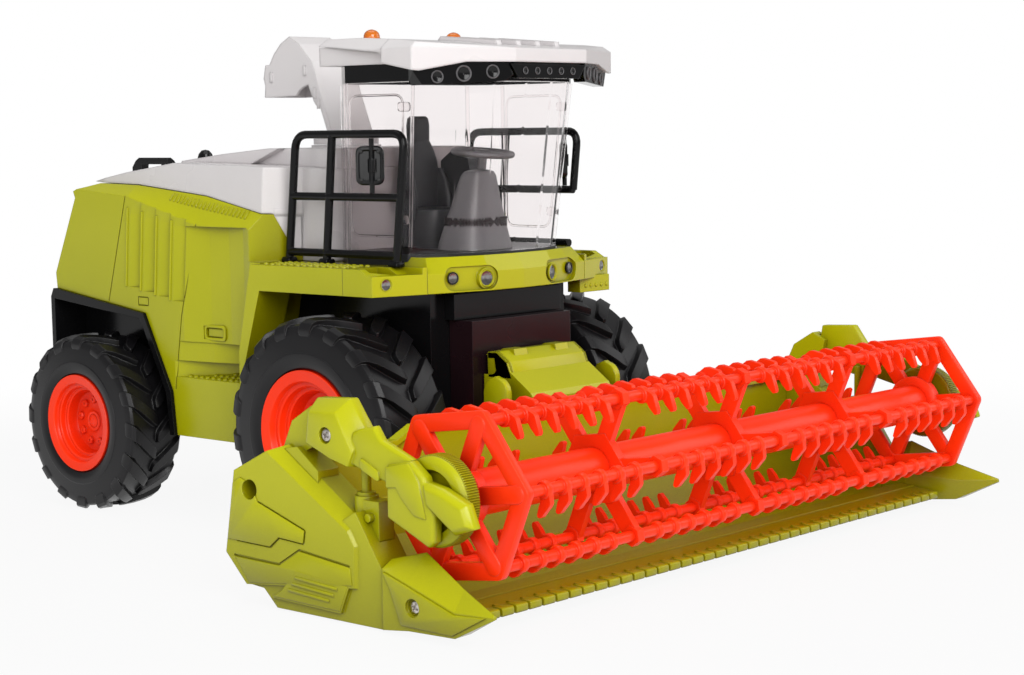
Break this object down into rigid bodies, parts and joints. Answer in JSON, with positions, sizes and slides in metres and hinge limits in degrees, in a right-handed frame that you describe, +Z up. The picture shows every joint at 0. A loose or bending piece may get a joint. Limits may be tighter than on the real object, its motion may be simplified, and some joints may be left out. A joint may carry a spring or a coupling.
{
  "type": "toy combine harvester",
  "caption": "Moulded plastic toy combine harvester with a wide reel header, glazed cab, swivelling discharge spout, guard rails and four lugged wheels.",
  "frame": {"origin": "On the ground under the middle of the toy's length and width, where the plane of symmetry meets the ground.", "axes": "+Z up, -Y the direction of travel (the header's side), X across the toy, +X on the machine's left."},
  "size_m": [0.3336, 0.3653, 0.2121],
  "materials": {
    "lime_plastic": "glossy lime-green moulded plastic",
    "white_plastic": "satin off-white moulded plastic",
    "red_plastic": "bright red-orange moulded plastic",
    "black_plastic": "matt charcoal plastic",
    "gloss_black_plastic": "glossy black plastic",
    "maroon_plastic": "semi-gloss maroon-black plastic",
    "dark_grey_plastic": "dark grey plastic",
    "mid_grey_plastic": "mid grey plastic",
    "clear_plastic": "clear polished plastic",
    "lamp_clear": "clear lens over a bright reflector",
    "amber_plastic": "translucent amber plastic",
    "tyre_rubber": "soft charcoal rubber",
    "axle_steel": "drawn steel rod"
  },
  "bodies": {
    "machine": {"chassis_tub": "black_plastic", "front_axle": "axle_steel", "rear_axle": "axle_steel", "front_housing": "maroon_plastic", "housing_collar": "black_plastic", "body_shell": "lime_plastic", "arch_liners": "black_plastic", "engine_deck": "white_plastic", "deck_hatch": "white_plastic", "grab_bar": "gloss_black_plastic", "exhaust_stub": "gloss_black_plastic", "platform": "lime_plastic", "bumper": "lime_plastic", "bumper_caps": "lime_plastic", "headlamps": "lamp_clear", "cab_floor": "dark_grey_plastic", "cab_glass": "clear_plastic", "cab_top_frame": "gloss_black_plastic", "roof": "white_plastic", "light_bar": "gloss_black_plastic", "beacons": "amber_plastic", "seat": "dark_grey_plastic", "side_console": "dark_grey_plastic", "steering_console": "mid_grey_plastic", "steering_wheel": "mid_grey_plastic", "guard_rail_right": "gloss_black_plastic", "guard_rail_left": "gloss_black_plastic", "mirrors": "gloss_black_plastic", "spout_turret": "white_plastic"},
    "spout_body": {"spout": "white_plastic"},
    "header": {"feeder_house": "lime_plastic", "header_trough": "lime_plastic", "knife_bar": "lime_plastic", "side_shield_right": "lime_plastic", "side_shield_left": "lime_plastic", "dividers": "lime_plastic", "reel_brackets": "lime_plastic", "reel_arm_right": "lime_plastic", "reel_arm_left": "lime_plastic", "reel_rams": "lime_plastic"},
    "reel": {"reel_tube": "red_plastic", "reel_end_frames": "red_plastic", "reel_spiders": "red_plastic", "reel_tine_bars": "red_plastic", "reel_discs": "lime_plastic"},
    "wheel_front_right": {"tyre_front_right": "tyre_rubber", "rim_front_right": "red_plastic"},
    "wheel_front_left": {"tyre_front_left": "tyre_rubber", "rim_front_left": "red_plastic"},
    "wheel_rear_right": {"tyre_rear_right": "tyre_rubber", "rim_rear_right": "red_plastic"},
    "wheel_rear_left": {"tyre_rear_left": "tyre_rubber", "rim_rear_left": "red_plastic"}
  },
  "joints": [
    {"name": "spout_swivel", "type": "hinge", "parent": "machine", "child": "spout_body", "pos_m": [0, 0.054, 0.165], "axis": [0, 0, 1], "range_deg": [-75, 75]},
    {"name": "header_lift", "type": "hinge", "parent": "machine", "child": "header", "pos_m": [0, -0.054, 0.0735], "axis": [-1, 0, 0], "range_deg": [0, 12]},
    {"name": "reel_spin", "type": "hinge", "parent": "header", "child": "reel", "pos_m": [0, -0.15075, 0.0466], "axis": [1, 0, 0], "continuous": true},
    {"name": "wheel_front_right_spin", "type": "hinge", "parent": "machine", "child": "wheel_front_right", "pos_m": [-0.068, -0.0083, 0.0477], "axis": [1, 0, 0], "continuous": true},
    {"name": "wheel_front_left_spin", "type": "hinge", "parent": "machine", "child": "wheel_front_left", "pos_m": [0.068, -0.0083, 0.0477], "axis": [1, 0, 0], "continuous": true},
    {"name": "wheel_rear_right_spin", "type": "hinge", "parent": "machine", "child": "wheel_rear_right", "pos_m": [-0.072, 0.1426, 0.04], "axis": [1, 0, 0], "continuous": true},
    {"name": "wheel_rear_left_spin", "type": "hinge", "parent": "machine", "child": "wheel_rear_left", "pos_m": [0.072, 0.1426, 0.04], "axis": [1, 0, 0], "continuous": true}
  ]
}
